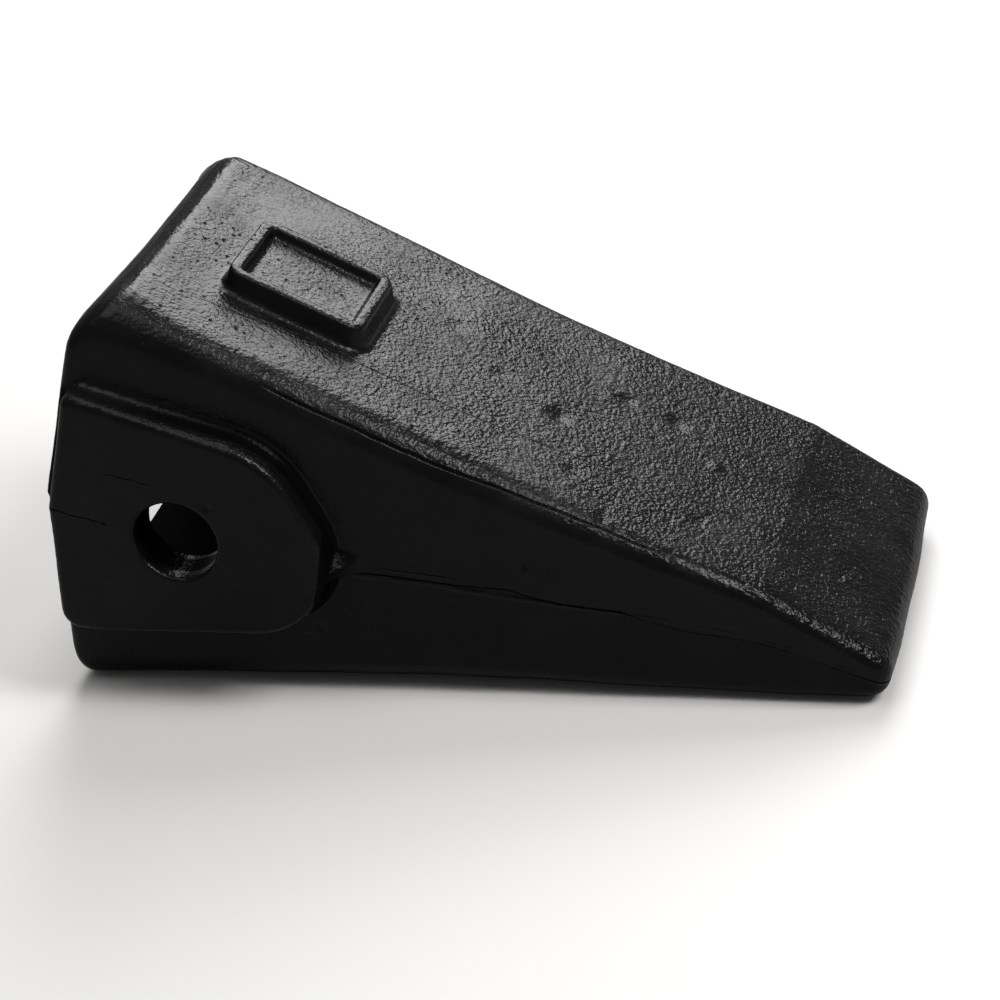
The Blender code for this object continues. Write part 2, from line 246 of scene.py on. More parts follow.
# Ding on the bevel beside the cutting edge, in metres of the casting frame.
DING_PLACE = (0.2014, -0.0206)
DING_HALF_LENGTH = 0.0050
DING_HALF_WIDTH = 0.0010
DING_DEPTH = 0.00045
DING_LEAN = 0.3

# Relief under the paint. Sizes are in grains, heights in heights of the grain, and each pair
# gives where a fade begins and where it ends.
FACING_UP = (0.45, 0.85)
LEATHER_SIZE = 3.4
LEATHER_HEIGHT = 1.6
PATCH_SIZE = 22.0
PATCH_RANGE = (-0.3, 0.3)
PIT_SPACING = 3.6
PIT_RANGE = (0.0, 0.24)
PIT_DEPTH = 2.2
GRAIN_LEAST = 0.7
GRAIN_IN_PATCHES = 0.6
WALL_RELIEF = 0.30
TOP_RELIEF = 0.70
REAR_RELIEF = 0.7
AHEAD_RELIEF = 0.3
AHEAD_RANGE = (0.010, 0.090)
BEVEL_RELIEF = 0.5
BEVEL_BLUR = 0.001

# Painted lines: how they drift, where they fade and how deep they are.
LINE_CORE = 0.35
DRIFT_SIZE = 0.012
DRIFT_REACH = 0.0004
SCRATCH_FADE_IN = (0.022, 0.030)
SCRATCH_DEPTH = 0.9
SCRATCH_DEPTH_ON_BEVEL = 1.8
CREASE_HEIGHTS = (0.010, 0.014)
CREASE_FADE_IN = (0.045, 0.055)
CREASE_FADE_OUT = (0.150, 0.165)
CREASE_DEPTH = 1.5
GROOVE_DEPTH = 2.0
FOLD_DEPTH = 1.5

# Two short cast marks on the near ear, sunk and painted dark as shade, by height, width and fades
# along the casting.
MARK_SKIN = (0.002, 0.003)
MARK_DRIFT = 1.5
MARK_WAVER_SIZE = 0.004
MARK_WAVER = 0.0006
LOWER_MARK_Z = 0.0005
LOWER_MARK_WIDTH = 1.3
LOWER_MARK_FADE_OUT = (0.0120, 0.0140)
HIGHER_MARK_Z = 0.0153
HIGHER_MARK_FADE_IN = (0.0105, 0.0120)
HIGHER_MARK_FADE_OUT = (0.0230, 0.0245)

# Painted shade in the foot round each ear, by how far it stands off the wall and where it fades.
FOOT_INNER = (-0.0035, -0.0025)
FOOT_OUTER = (0.0, 0.0008)
FOOT_REACH = 0.0030
FOOT_WIDENING = 0.006
FOOT_WIDENING_RUN = 0.002
FOOT_FACING = (0.86, 0.94)
FOOT_HEIGHTS = (0.032, 0.036)
FOOT_RUN_OUT = 0.008

# Shine of the paint and of the dark, dull shader that paints shade and the socket's scale, and how
# much painted shade each mark shows.
DUST_SIZE = 0.018
DUST_RANGE = (-0.3, 0.7)
PAINT_SPECULAR = 0.22
SHADE_AND_SCALE_ROUGHNESS = 0.8
SHADE_AND_SCALE_SPECULAR = 0.02
CREASE_SHADE = 0.85
FOLD_SHADE = 0.9
SCRATCH_SHADE = 0.7
FOOT_SHADE = 0.85
PIT_SHADE = 0.8


def casting_to_row():
    """Matrix from the casting frame to the row frame, from the seat at the end of the socket."""
    seat = frame["record"]["mounts"][0]
    place = Vector(seat["pos_m"])
    axis = Vector(seat["axis"])
    tilt = atan2(axis.z, -axis.x)
    origin = place + axis.normalized() * SOCKET_DEPTH
    return Matrix.Translation(origin) @ Matrix.Rotation(tilt, 4, "Y"), origin, tilt


TO_ROW, CASTING_ORIGIN, CASTING_TILT = casting_to_row()
TO_CASTING = TO_ROW.inverted()


def ease(share):
    """Smooth step of a share held between 0 and 1."""
    held = min(max(share, 0.0), 1.0)
    return held * held * (3.0 - 2.0 * held)


def hump(distance, width):
    """Round bump that is 1 at the middle and 0 past its width."""
    return ease(1.0 - abs(distance) / width)


def half_width(x):
    """Half of the width at the parting line."""
    share = x / LENGTH
    return REAR_HALF_WIDTH + (TIP_HALF_WIDTH - REAR_HALF_WIDTH) * share


def parting_line(x):
    """Height at which the mould halves met on the side walls."""
    share = min(max(x / LENGTH, 0.0), 1.0)
    if share < PARTING_CROSSING:
        return -PARTING_DIP * sin(pi * share / PARTING_CROSSING)
    ahead = (share - PARTING_CROSSING) / (1.0 - PARTING_CROSSING)
    return PARTING_RISE * sin(pi * ahead ** PARTING_SKEW)


def wandering_line(x):
    """Height of the parting line as it shows on the cast walls."""
    for (x0, z0), (x1, z1) in zip(PARTING_POINTS, PARTING_POINTS[1:]):
        if x <= x1 * MM:
            share = max((x - x0 * MM) / ((x1 - x0) * MM), 0.0)
            return (z0 + (z1 - z0) * share) * MM
    return PARTING_POINTS[-1][1] * MM


def flash_height(point):
    """Move the parting step to its wandering line and add the ragged flash above it."""
    if point.x < FLASH_START:
        return 0.0
    along = Vector((point.x / FLASH_SPACING, 0.0, 0.0))
    above = point.z - wandering_line(point.x)
    true_above = point.z - parting_line(point.x)
    wanted = ease(0.5 + 0.5 * above / PARTING_BLUR)
    present = ease(0.5 + 0.5 * true_above / PARTING_BLUR)
    ragged = 1.0 + FLASH_RAGGEDNESS * noise.noise(along)
    ridge = FLASH_HEIGHT * ragged * hump(above - FLASH_LIFT, FLASH_WIDTH)
    return PARTING_STEP * (wanted - present) + ridge


def web_lift(point):
    """How far a point on a wall moves outward to lie on the ramp ahead of an ear's nose."""
    if not WEB_START < point.x < WEB_END:
        return 0.0
    above = point.z - wandering_line(point.x)
    share = ease(0.5 + 0.5 * above / PARTING_BLUR) * (1.0 - ease((above - WEB_TOP) / WEB_FADE))
    ahead = ease((point.x - WEB_START) / (WEB_END - WEB_START))
    ramp = EAR_HALF_WIDTH + (half_width(point.x) - EAR_HALF_WIDTH) * ahead
    return share * (ramp - abs(point.y))


def wrinkle_height(point):
    """Shallow flow wrinkles beside the rear edge of the upper face."""
    near_edge = 1.0 - ease(point.x / WRINKLE_REACH)
    if near_edge <= 0.0:
        return 0.0
    wander = noise.noise(point / WRINKLE_WANDER_SIZE) * WRINKLE_WANDER
    phase = 2.0 * pi * (point.x + wander) / WRINKLE_SPACING
    return near_edge * 0.5 * (1.0 + sin(phase))


def dents_at(across, along, dents):
    """Summed depth of round dents at a place on a face, in metres."""
    depth = 0.0
    for x, other, radius, deep in dents:
        away = hypot(along - x * MM, across - other * MM)
        depth += deep * MM * hump(away, radius * MM * DENT_SPREAD)
    return depth


def ding_depth(point):
    """Depth of the short upright ding on the bevel, in metres."""
    x, y = DING_PLACE
    along = hump(point.x - x - DING_LEAN * (point.y - y), DING_HALF_WIDTH)
    return DING_DEPTH * along * hump(point.y - y, DING_HALF_LENGTH)


class ToothSkinSettings(bpy.types.PropertyGroup):
    """Sizes of the cast skin."""

    mesh_size: bpy.props.FloatProperty(
        name="Mesh Size",
        description="Size of the even mesh on the skin",
        default=0.00060,
        min=0.0004,
        unit="LENGTH",
    )
    triangles: bpy.props.IntProperty(
        name="Triangles",
        description="Triangles that the finished skin keeps",
        default=192000,
    )
    unevenness: bpy.props.FloatProperty(
        name="Unevenness",
        description="Height of the broad waves left by the sand mould",
        default=0.00024,
        unit="LENGTH",
    )
    unevenness_size: bpy.props.FloatProperty(
        name="Unevenness Size",
        description="Distance between the broad waves",
        default=0.020,
        unit="LENGTH",
    )
    peel: bpy.props.FloatProperty(
        name="Peel",
        description="Height of the leathery relief on the upper face",
        default=0.00005,
        unit="LENGTH",
    )
    peel_size: bpy.props.FloatProperty(
        name="Peel Size",
        description="Distance between the bumps of the leathery relief",
        default=0.0026,
        unit="LENGTH",
    )
    wrinkles: bpy.props.FloatProperty(
        name="Wrinkles",
        description="Height of the flow wrinkles beside the rear edge",
        default=0.00012,
        unit="LENGTH",
    )


class ToothPaintSettings(bpy.types.PropertyGroup):
    """Colours and gloss of the paint."""

    colour: bpy.props.FloatVectorProperty(
        name="Paint",
        description="Colour of the black paint",
        default=(0.0035, 0.0035, 0.0037, 1.0),
        size=4,
        subtype="COLOR",
    )
    dusty_colour: bpy.props.FloatVectorProperty(
        name="Dusty Paint",
        description="Colour where the paint is thin or dusty",
        default=(0.0075, 0.0074, 0.0070, 1.0),
        size=4,
        subtype="COLOR",
    )
    # Colour of the painted shade in the socket, the pits and the dark lines, and of the socket's
    # casting scale.
    shade_and_scale_colour: bpy.props.FloatVectorProperty(
        name="Scale",
        description="Colour of the dull scale in the socket and in deep marks",
        default=(0.0014, 0.0014, 0.0014, 1.0),
        size=4,
        subtype="COLOR",
    )
    gloss_roughness: bpy.props.FloatProperty(
        name="Glossy Roughness",
        description="Roughness where the paint lies thick",
        default=0.24,
        subtype="FACTOR",
    )
    dull_roughness: bpy.props.FloatProperty(
        name="Dull Roughness",
        description="Roughness where the paint is thin",
        default=0.38,
        subtype="FACTOR",
    )
    grain: bpy.props.FloatProperty(
        name="Grain",
        description="Height of the sand grain under the paint",
        default=0.00013,
        unit="LENGTH",
    )
    grain_size: bpy.props.FloatProperty(
        name="Grain Size",
        description="Size of the sand grain under the paint",
        default=0.0010,
        unit="LENGTH",
    )


class ToothStageSettings(bpy.types.PropertyGroup):
    """Floor, lights and camera."""

    floor_colour: bpy.props.FloatVectorProperty(
        name="Floor",
        description="Colour of the floor",
        default=(0.31, 0.307, 0.302, 1.0),
        size=4,
        subtype="COLOR",
    )
    world_level: bpy.props.FloatProperty(
        name="Fill Level",
        description="Strength of the even light from all round",
        default=0.12,
    )
    key_level: bpy.props.FloatProperty(
        name="Key Level",
        description="Brightness of the softbox behind the tooth",
        default=6.8,
    )
    key_size: bpy.props.FloatVectorProperty(
        name="Key Size",
        description="Width and height of the softbox behind the tooth",
        default=(0.76, 0.70),
        size=2,
        unit="LENGTH",
    )
    upper_level: bpy.props.FloatProperty(
        name="Upper Level",
        description="Brightness of the softbox between the key and the overhead one",
        default=3.5,
    )
    upper_size: bpy.props.FloatVectorProperty(
        name="Upper Size",
        description="Width and height of the softbox between the key and the overhead one",
        default=(0.76, 0.48),
        size=2,
        unit="LENGTH",
    )
    overhead_level: bpy.props.FloatProperty(
        name="Overhead Level",
        description="Brightness of the softbox above the tooth",
        default=1.6,
    )
    overhead_size: bpy.props.FloatVectorProperty(
        name="Overhead Size",
        description="Width and height of the softbox above the tooth",
        default=(0.95, 0.85),
        size=2,
        unit="LENGTH",
    )
    side_level: bpy.props.FloatProperty(
        name="Side Level",
        description="Brightness of the softbox ahead of the cutting edge",
        default=13.0,
    )
    side_size: bpy.props.FloatVectorProperty(
        name="Side Size",
        description="Width and height of the softbox ahead of the cutting edge",
        default=(0.50, 0.52),
        size=2,
        unit="LENGTH",
    )
    focal_length: bpy.props.FloatProperty(
        name="Focal Length",
        description="Focal length of the camera, in millimetres",
        default=97.92,
    )


def skin_copy():
    """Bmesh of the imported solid, welded and turned into the casting frame."""
    bm = bmesh.new()
    bm.from_mesh(frame["nodes"][NODE].data)
    bmesh.ops.remove_doubles(bm, verts=bm.verts, dist=SEAM_GAP)
    bmesh.ops.transform(bm, matrix=TO_CASTING, verts=bm.verts)
    bmesh.ops.recalc_face_normals(bm, faces=bm.faces)
    return bm


def evaluated_copy(piece):
    """Mesh of a piece with its modifiers applied."""
    graph = bpy.context.evaluated_depsgraph_get()
    return bpy.data.meshes.new_from_object(piece.evaluated_get(graph))


def in_socket(point):
    """Whether a point of the casting frame is inside the socket."""
    if point.x > SOCKET_DEPTH + SOCKET_MARGIN:
        return False
    share = point.x / SOCKET_DEPTH
    tall = INSIDE_MOUTH_HEIGHT + (INSIDE_END_HEIGHT - INSIDE_MOUTH_HEIGHT) * share
    wide = half_width(point.x) - THINNEST_WALL
    return abs(point.z) < tall and abs(point.y) < wide


def remeshed(piece, size):
    """Give a piece an even mesh."""
    skin = piece.modifiers.new("skin", "REMESH")
    skin.mode = "VOXEL"
    skin.voxel_size = size
    skin.use_smooth_shade = True
    even = evaluated_copy(piece)
    piece.modifiers.clear()
    piece.data = even


def on_flash(point):
    """Whether a point of the casting frame is beside the parting line on a wall."""
    beside = abs(point.z - wandering_line(point.x)) < FLASH_REACH
    return beside and point.x > WEB_START and not in_socket(point)


def plain_places(bm):
    """Indices of the vertices that lie on flat or gently curved faces, away from the flash."""
    crisp = set(vertex.index for vertex in bm.verts if on_flash(vertex.co))
    for edge in bm.edges:
        if edge.calc_face_angle(0.0) > CRISP_BEND and not in_socket(edge.verts[0].co):
            crisp.update(vertex.index for vertex in edge.verts)
    return [vertex.index for vertex in bm.verts if vertex.index not in crisp]


def thinned(piece, plain, triangles):
    """Thin the plain places of a piece until it has a count of triangles."""
    group = piece.vertex_groups.new(name="plain")
    group.add(plain, 1.0, "REPLACE")
    now = sum(len(face.vertices) - 2 for face in piece.data.polygons)
    thin = piece.modifiers.new("thin", "DECIMATE")
    thin.vertex_group = group.name
    thin.ratio = triangles / now
    sparse = evaluated_copy(piece)
    piece.modifiers.clear()
    piece.vertex_groups.clear()
    piece.data = sparse


def skin_height(point, normal, settings):
    """How far the cast skin stands off the true form at a point of the casting frame."""
    height = settings.unevenness * noise.noise(point / settings.unevenness_size)
    if in_socket(point):
        return height
    up = ease((normal.z - UP_FROM) / FACING_BLUR)
    side = ease((abs(normal.y) - SIDE_FROM) / FACING_BLUR)
    place = point / settings.peel_size
    relief = noise.fractal(place, PEEL_DIMENSION, PEEL_LACUNARITY, PEEL_OCTAVES)
    height += settings.peel * relief * (PEEL_ON_WALLS + PEEL_ADDED_ON_TOP * up)
    if up > 0.0:
        height += up * settings.wrinkles * wrinkle_height(point)
        height -= up * (dents_at(point.y, point.x, TOP_DENTS) + ding_depth(point))
    if side > 0.0 and abs(point.y) > half_width(point.x) - WALL_SKIN:
        height += side * flash_height(point)
        if normal.y < 0.0:
            height -= side * dents_at(point.z, point.x, WALL_DENTS)
    return height


class TOOTH_OT_casting(bpy.types.Operator):
    """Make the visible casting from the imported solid"""

    bl_idname = "tooth.casting"
    bl_label = "Casting"

    def execute(self, context):
        settings = context.scene.tooth_skin
        bm = skin_copy()
        mesh = bpy.data.meshes.new("cast_tooth")
        bm.to_mesh(mesh)
        bm.free()
        piece = bpy.data.objects.new("cast_tooth", mesh)
        context.scene.collection.objects.link(piece)
        remeshed(piece, settings.mesh_size)
        bm = bmesh.new()
        bm.from_mesh(piece.data)
        bm.normal_update()
        plain = plain_places(bm)
        moves = [v.normal * skin_height(v.co, v.normal, settings) for v in bm.verts]
        for vertex, move in zip(bm.verts, moves):
            vertex.co += move
            if abs(vertex.co.y) > half_width(vertex.co.x) - WEB_SKIN:
                outward = 1.0 if vertex.co.y > 0.0 else -1.0
                vertex.co.y += outward * web_lift(vertex.co)
        bmesh.ops.transform(bm, matrix=TO_ROW, verts=bm.verts)
        bm.to_mesh(piece.data)
        bm.free()
        thinned(piece, plain, settings.triangles)
        piece.data.shade_smooth()
        piece.data.materials.clear()
        piece.data.materials.append(paint_material(context.scene.tooth_paint))
        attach(piece, BODY)
        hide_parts(NODE)
        return {"FINISHED"}


class Graph:
    """Node tree of one material."""

    def __init__(self, name):
        self.material = bpy.data.materials.new(name)
        self.material.use_nodes = True
        self.tree = self.material.node_tree
        self.tree.nodes.clear()

    def node(self, kind, settings=None, inputs=None, output=0):
        """Add a node, set it up, feed its sockets and give one of its outputs."""
        made = self.tree.nodes.new(kind)
        for name, value in (settings or {}).items():
            if name == "curve":
                set_curve(made.mapping, value)
            else:
                setattr(made, name, value)
        for key, value in (inputs or {}).items():
            self.feed(made.inputs[key], value)
        return Socket(self, made.outputs[output])

    def feed(self, socket, value):
        """Link a socket to another, or set its value."""
        if isinstance(value, Socket):
            self.tree.links.new(value.socket, socket)
        else:
            socket.default_value = value

    def finish(self, surface):
        """Send a shader to the material's output and give the material."""
        end = self.tree.nodes.new("ShaderNodeOutputMaterial")
        self.feed(end.inputs["Surface"], surface)
        return self.material

    def mix_colour(self, factor, first, second):
        """Blend of two colours."""
        return self.node(
            "ShaderNodeMix",
            {"data_type": "RGBA"},
            {0: factor, 6: first, 7: second},
            output=2,
        )

    def parts(self, vector):
        """The three numbers of a vector."""
        made = self.node("ShaderNodeSeparateXYZ", inputs={0: vector})
        return [Socket(self, output) for output in made.socket.node.outputs]

    def noise(self, place, size, detail=2.0, roughness=0.5):
        """Signed noise, about -1 to 1, whose blobs are about the given size."""
        inputs = {
            "Vector": place,
            "Scale": 1.0 / size,
            "Detail": detail,
            "Roughness": roughness,
        }
        return self.node("ShaderNodeTexNoise", {"noise_dimensions": "3D"}, inputs) * 2.0 - 1.0

    def cells(self, place, size):
        """Distance to scattered points about the given size apart, in cell sizes."""
        inputs = {"Vector": place, "Scale": 1.0 / size}
        return self.node("ShaderNodeTexVoronoi", {"feature": "F1"}, inputs, "Distance")

    def step(self, value, low, high):
        """Smooth step of a value from 0 at low to 1 at high."""
        inputs = {"Value": value, "From Min": low, "From Max": high}
        return self.node("ShaderNodeMapRange", {"interpolation_type": "SMOOTHSTEP"}, inputs)

    def fade(self, value, low, high):
        """Smooth step of a value from 1 at low to 0 at high."""
        return 1.0 - self.step(value, low, high)


class Socket:
    """Output socket on which Python's operators add Math nodes."""

    def __init__(self, graph, socket):
        self.graph = graph
        self.socket = socket

    def math(self, operation, first, second=0.0):
        """Math node on two values."""
        return self.graph.node("ShaderNodeMath", {"operation": operation}, {0: first, 1: second})

    def __add__(self, other):
        return self.math("ADD", self, other)

    def __radd__(self, other):
        return self.math("ADD", other, self)

    def __sub__(self, other):
        return self.math("SUBTRACT", self, other)

    def __rsub__(self, other):
        return self.math("SUBTRACT", other, self)

    def __mul__(self, other):
        return self.math("MULTIPLY", self, other)

    def __rmul__(self, other):
        return self.math("MULTIPLY", other, self)

    def __truediv__(self, other):
        return self.math("DIVIDE", self, other)

    def __abs__(self):
        return self.math("ABSOLUTE", self)

    def larger(self, other):
        """The larger of this value and another."""
        return self.math("MAXIMUM", self, other)


def set_curve(mapping, points):
    """Set the points of a float curve from (x, y) pairs."""
    curve = mapping.curves[0]
    while len(curve.points) < len(points):
        curve.points.new(0.5, 0.5)
    for point, (x, y) in zip(curve.points, points):
        point.location = (x, y)
        point.handle_type = "VECTOR"
    mapping.update()


def line_places(graph, along, points):
    """Where a line drawn through (x, other) points lies at a distance along the casting."""
    reach = CURVE_HIGH - CURVE_LOW
    curve = [(x * MM / LENGTH, (other * MM - CURVE_LOW) / reach) for x, other in points]
    drawn = graph.node("ShaderNodeFloatCurve", {"curve": curve}, {"Value": along / LENGTH})
    return drawn * reach + CURVE_LOW


def thin_line(graph, away, reach):
    """Mask that is 1 on a line and 0 past its reach to each side."""
    return graph.fade(abs(away), reach * LINE_CORE, reach)


def ear_foot_shade(graph, x, y, z, turned):
    """Mask of the painted shade in the foot round each ear and on the ramp's flank ahead of its
    nose.
    """
    wall = x * ((TIP_HALF_WIDTH - REAR_HALF_WIDTH) / LENGTH) + REAR_HALF_WIDTH
    proud = abs(y) - wall
    reach = graph.step(x, WEB_START, WEB_START + FOOT_WIDENING_RUN) * FOOT_WIDENING + FOOT_REACH
    foot = graph.step(proud, *FOOT_INNER) * graph.fade(proud - reach, *FOOT_OUTER)
    foot = foot * graph.fade(abs(turned), *FOOT_FACING)
    foot = foot * graph.fade(abs(z), *FOOT_HEIGHTS)
    return foot * graph.fade(x, WEB_END - FOOT_RUN_OUT, WEB_END)


def ear_marks(graph, x, y, z, waver):
    """Mask of the two short cast marks on the near ear's face."""
    begin, end = MARK_SKIN
    near = graph.fade(y, -EAR_HALF_WIDTH + begin, -EAR_HALF_WIDTH + end)
    lower = thin_line(graph, z - LOWER_MARK_Z - waver, FOLD_HALF_WIDTH * LOWER_MARK_WIDTH)
    lower = lower * graph.fade(x, *LOWER_MARK_FADE_OUT)
    higher = thin_line(graph, z - HIGHER_MARK_Z - waver, FOLD_HALF_WIDTH)
    higher = higher * graph.step(x, *HIGHER_MARK_FADE_IN) * graph.fade(x, *HIGHER_MARK_FADE_OUT)
    return (lower + higher) * near


def socket_mask(graph, x, y, z):
    """Mask of the socket's walls, where shade is painted."""
    crown = SOCKET_MOUTH_HEIGHT - x * SOCKET_TAPER
    least = SOCKET_HALF_WIDTH - SOCKET_SIDE_BLUR
    inside = graph.fade(abs(y), least, SOCKET_HALF_WIDTH + SOCKET_SIDE_BLUR)
    inside = inside * graph.fade(abs(z) - crown, 0.0, SOCKET_BLUR)
    return inside * graph.fade(x, SOCKET_DEPTH, SOCKET_DEPTH + SOCKET_BLUR)


def grain_relief(graph, place, size, up):
    """Height of the sand grain and leathery folds, and the mask of the scattered pits, which are
    painted dark as shade.
    """
    grain = graph.noise(place, size, detail=1.0)
    folds = abs(graph.noise(place, size * LEATHER_SIZE))
    patches = graph.step(graph.noise(place, size * PATCH_SIZE), *PATCH_RANGE)
    pits = graph.fade(graph.cells(place, size * PIT_SPACING), *PIT_RANGE) * patches * up
    height = grain * (GRAIN_LEAST + patches * GRAIN_IN_PATCHES) + folds * LEATHER_HEIGHT
    return height - pits * PIT_DEPTH, pits


def paint_material(settings):
    """Black paint over the sand-cast skin."""
    graph = Graph("black_paint_cast")
    place = graph.node("ShaderNodeTexCoord", output="Object")
    facing = graph.node("ShaderNodeTexCoord", output="Normal")
    place = graph.node(
        "ShaderNodeMapping",
        {"vector_type": "TEXTURE"},
        {"Vector": place, "Location": CASTING_ORIGIN, "Rotation": (0.0, CASTING_TILT, 0.0)},
    )
    facing = graph.node(
        "ShaderNodeMapping",
        {"vector_type": "TEXTURE"},
        {"Vector": facing, "Rotation": (0.0, CASTING_TILT, 0.0)},
    )
    x, y, z = graph.parts(place)
    turned, lifted = graph.parts(facing)[1:]
    up = graph.step(lifted, *FACING_UP)

    # Sand grain, stronger on the upper face, toward the tip and on the bevel.
    height, pits = grain_relief(graph, place, settings.grain_size, up)
    bevel = graph.step(x, BREAK_X - BEVEL_BLUR, BREAK_X + BEVEL_BLUR)
    toward_tip = REAR_RELIEF + graph.step(x, *AHEAD_RANGE) * AHEAD_RELIEF
    height = height * (WALL_RELIEF + up * TOP_RELIEF) * (toward_tip + bevel * BEVEL_RELIEF)

    # Scratch along the upper face, and the crease beside its near edge, both sunk and painted dark
    # as shade.
    drift = graph.noise(place, DRIFT_SIZE, detail=1.0) * DRIFT_REACH
    scratched = y - line_places(graph, x, SCRATCH_POINTS) - drift
    scratch = thin_line(graph, scratched, SCRATCH_HALF_WIDTH) * up * graph.step(x, *SCRATCH_FADE_IN)
    creased = y - line_places(graph, x, CREASE_POINTS) - drift
    crease = thin_line(graph, creased, CREASE_HALF_WIDTH) * graph.step(z, *CREASE_HEIGHTS)
    crease = crease * graph.fade(x, *CREASE_FADE_OUT) * graph.step(x, *CREASE_FADE_IN)

    # Groove of the parting line, the fold above it and the marks on the ear.
    parting = z - line_places(graph, x, PARTING_POINTS)
    groove = thin_line(graph, parting, GROOVE_HALF_WIDTH)
    groove = groove * graph.step(x, GROOVE_START, GROOVE_START + GROOVE_RUN_IN)
    fold = thin_line(graph, parting - FOLD_LIFT - drift, FOLD_HALF_WIDTH)
    fold = fold * graph.step(x, FOLD_START, FOLD_START + FOLD_RUN_IN)
    fold = fold * graph.fade(x, FOLD_END - FOLD_RUN_IN, FOLD_END)
    waver = drift * MARK_DRIFT + graph.noise(place, MARK_WAVER_SIZE) * MARK_WAVER
    fold = fold.larger(ear_marks(graph, x, y, z, waver))
    height = height - scratch * (SCRATCH_DEPTH + bevel * SCRATCH_DEPTH_ON_BEVEL)
    height = height - crease * CREASE_DEPTH - groove * GROOVE_DEPTH - fold * FOLD_DEPTH
    normal = graph.node(
        "ShaderNodeBump",
        inputs={"Height": height, "Distance": settings.grain, "Strength": 1.0},
    )

    # Paint, thinner and duller in patches.
    dust = graph.noise(place, DUST_SIZE, detail=5.0, roughness=0.65)
    dusty = graph.step(dust, *DUST_RANGE)
    colour = graph.mix_colour(dusty, tuple(settings.colour), tuple(settings.dusty_colour))
    spread = settings.dull_roughness - settings.gloss_roughness
    roughness = settings.gloss_roughness + dusty * spread
    paint = graph.node(
        "ShaderNodeBsdfPrincipled",
        inputs={
            "Base Color": colour,
            "Roughness": roughness,
            "Normal": normal,
            "Specular IOR Level": PAINT_SPECULAR,
        },
    )

    # Painted shade: a dark, dull shader in the socket, in the pits, along the dark lines and in the
    # foot round each ear; in the socket it also stands for the dull casting scale.
    dark = socket_mask(graph, x, y, z)
    for mask in (
        groove,
        crease * CREASE_SHADE,
        fold * FOLD_SHADE,
        scratch * (1.0 - bevel) * SCRATCH_SHADE,
        ear_foot_shade(graph, x, y, z, turned) * FOOT_SHADE,
        pits * PIT_SHADE,
    ):
        dark = dark.larger(mask)
    shade_and_scale = graph.node(
        "ShaderNodeBsdfPrincipled",
        inputs={
            "Base Color": tuple(settings.shade_and_scale_colour),
            "Roughness": SHADE_AND_SCALE_ROUGHNESS,
            "Normal": normal,
            "Specular IOR Level": SHADE_AND_SCALE_SPECULAR,
        },
    )
    return graph.finish(graph.node("ShaderNodeMixShader", inputs={0: dark, 1: paint, 2: shade_and_scale}))


def floor_material(colour):
    """Plain matt floor with a faint unevenness of tone."""
    graph = Graph("floor_matt")
    place = graph.node("ShaderNodeTexCoord", output="Object")
    tone = graph.step(graph.noise(place, FLOOR_TONE_SIZE, detail=1.0), *FLOOR_TONE_RANGE)
    darker = tuple(FLOOR_DARKER * channel for channel in colour[:3]) + (1.0,)
    paler = tuple(min(FLOOR_SEEN * channel, FLOOR_PALEST) for channel in colour[:3]) + (1.0,)
    seen = graph.node("ShaderNodeLightPath", output="Is Camera Ray")
    shade = graph.mix_colour(tone, darker, tuple(colour))
    shade = graph.mix_colour(seen, shade, paler)
    surface = graph.node(
        "ShaderNodeBsdfPrincipled",
        inputs={
            "Base Color": shade,
            "Roughness": FLOOR_ROUGHNESS,
            "Specular IOR Level": FLOOR_SPECULAR,
        },
    )
    return graph.finish(surface)


def direction(azimuth, elevation):
    """Unit vector at an azimuth from +Y toward +X and an elevation, in degrees."""
    a = radians(azimuth)
    e = radians(elevation)
    return Vector((sin(a) * cos(e), cos(a) * cos(e), sin(e)))


def softbox(name, place, size, level):
    """Rectangular soft light that faces the tooth; level is the brightness of its face."""
    lamp = bpy.data.lights.new(name, "AREA")
    lamp.shape = "RECTANGLE"
    lamp.size, lamp.size_y = size
    lamp.energy = level * pi * size[0] * size[1]
    made = bpy.data.objects.new(name, lamp)
    toward = direction(*place)
    made.location = TARGET + toward * LAMP_DISTANCE
    made.rotation_euler = toward.to_track_quat("Z", "Y").to_euler()
    made.visible_camera = False
    bpy.context.scene.collection.objects.link(made)


def make_floor(settings):
    """Round pale floor under the tooth."""
    bm = bmesh.new()
    bmesh.ops.create_circle(bm, cap_ends=True, radius=FLOOR_RADIUS, segments=FLOOR_SEGMENTS)
    bmesh.ops.translate(bm, vec=(0.0, 0.0, -FLOOR_GAP), verts=bm.verts)
    mesh = bpy.data.meshes.new("floor")
    bm.to_mesh(mesh)
    bm.free()
    mesh.materials.append(floor_material(settings.floor_colour))
    floor = bpy.data.objects.new("floor", mesh)
    bpy.context.scene.collection.objects.link(floor)


def make_world(settings):
    """Even pale fill from all round."""
    world = bpy.data.worlds.new("fill")
    world.use_nodes = True
    shade = world.node_tree.nodes["Background"]
    shade.inputs["Color"].default_value = (1.0, 1.0, 1.0, 1.0)
    path = world.node_tree.nodes.new("ShaderNodeLightPath")
    level = world.node_tree.nodes.new("ShaderNodeMapRange")
    level.inputs["To Min"].default_value = settings.world_level
    level.inputs["To Max"].default_value = WORLD_SEEN
    world.node_tree.links.new(path.outputs["Is Camera Ray"], level.inputs["Value"])
    world.node_tree.links.new(level.outputs["Result"], shade.inputs["Strength"])
    bpy.context.scene.world = world


def make_camera(settings):
    """Camera at the viewing angle of the product picture."""
    lens = bpy.data.cameras.new("camera")
    lens.lens = settings.focal_length
    camera = bpy.data.objects.new("camera", lens)
    camera.location = CAMERA_PLACE
    camera.rotation_euler = [radians(angle) for angle in CAMERA_TURN]
    bpy.context.scene.collection.objects.link(camera)
    bpy.context.scene.camera = camera


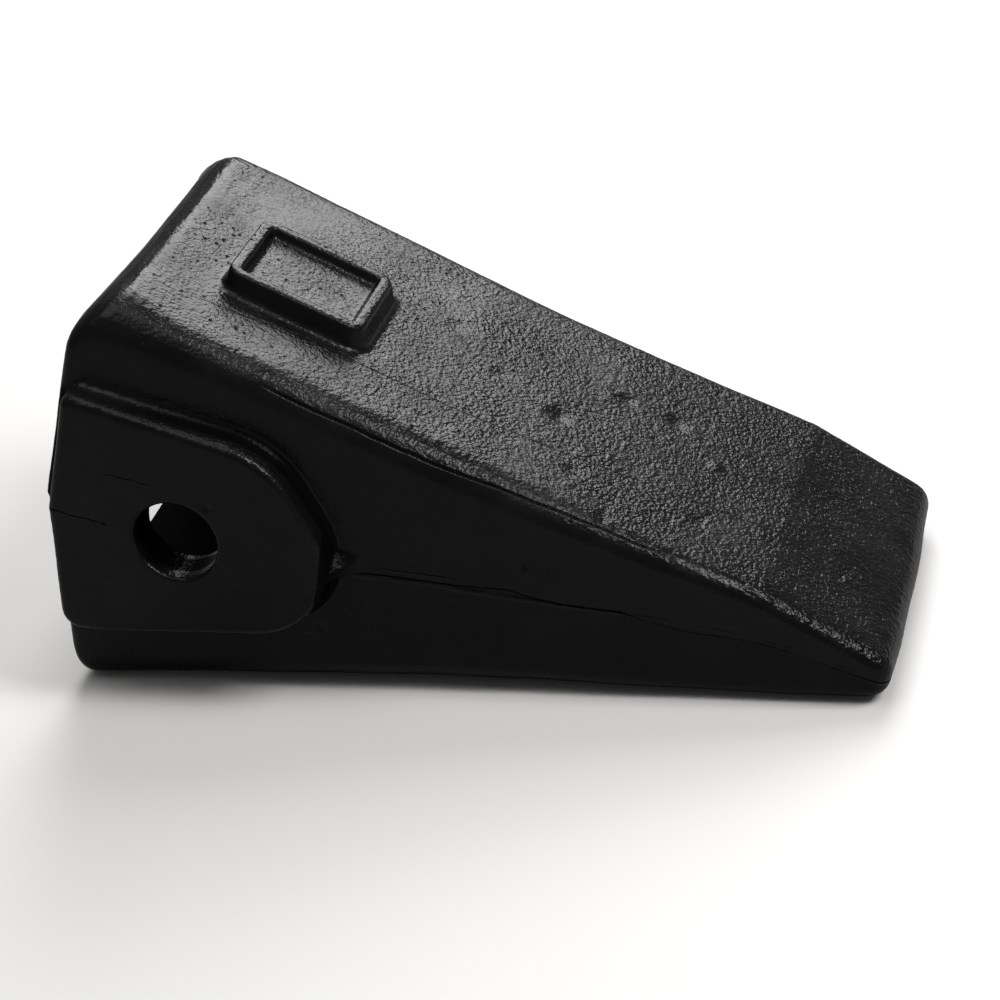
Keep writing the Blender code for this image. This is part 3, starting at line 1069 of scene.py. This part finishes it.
class TOOTH_OT_stage(bpy.types.Operator):
    """Make the floor, the lights and the camera"""

    bl_idname = "tooth.stage"
    bl_label = "Stage"

    def execute(self, context):
        settings = context.scene.tooth_stage
        make_floor(settings)
        make_world(settings)
        softbox("softbox_key", KEY_DIRECTION, settings.key_size, settings.key_level)
        softbox("softbox_upper", UPPER_DIRECTION, settings.upper_size, settings.upper_level)
        softbox(
            "softbox_overhead",
            OVERHEAD_DIRECTION,
            settings.overhead_size,
            settings.overhead_level,
        )
        softbox("softbox_side", SIDE_DIRECTION, settings.side_size, settings.side_level)
        make_camera(settings)
        context.scene.view_settings.view_transform = "Standard"
        return {"FINISHED"}


class TOOTH_PT_panel(bpy.types.Panel):
    """Buttons and sizes in the sidebar."""

    bl_label = "Bucket Tooth"
    bl_idname = "TOOTH_PT_panel"
    bl_space_type = "VIEW_3D"
    bl_region_type = "UI"
    bl_category = "Tooth"

    def draw(self, context):
        layout = self.layout
        scene = context.scene
        layout.operator(TOOTH_OT_casting.bl_idname)
        layout.operator(TOOTH_OT_stage.bl_idname)
        for group in (scene.tooth_skin, scene.tooth_paint, scene.tooth_stage):
            column = layout.column()
            for name in group.__annotations__:
                column.prop(group, name)


CLASSES = (
    ToothSkinSettings,
    ToothPaintSettings,
    ToothStageSettings,
    TOOTH_OT_casting,
    TOOTH_OT_stage,
    TOOTH_PT_panel,
)


def register():
    """Register the classes and hang their settings on the scene."""
    for made in CLASSES:
        bpy.utils.register_class(made)
    bpy.types.Scene.tooth_skin = bpy.props.PointerProperty(type=ToothSkinSettings)
    bpy.types.Scene.tooth_paint = bpy.props.PointerProperty(type=ToothPaintSettings)
    bpy.types.Scene.tooth_stage = bpy.props.PointerProperty(type=ToothStageSettings)


def unregister():
    """Take the settings off the scene and unregister the classes."""
    del bpy.types.Scene.tooth_stage
    del bpy.types.Scene.tooth_paint
    del bpy.types.Scene.tooth_skin
    for made in reversed(CLASSES):
        bpy.utils.unregister_class(made)


def main():
    """Make the casting and the stage."""
    register()
    bpy.ops.tooth.casting()
    bpy.ops.tooth.stage()


if __name__ == "__main__":
    main()
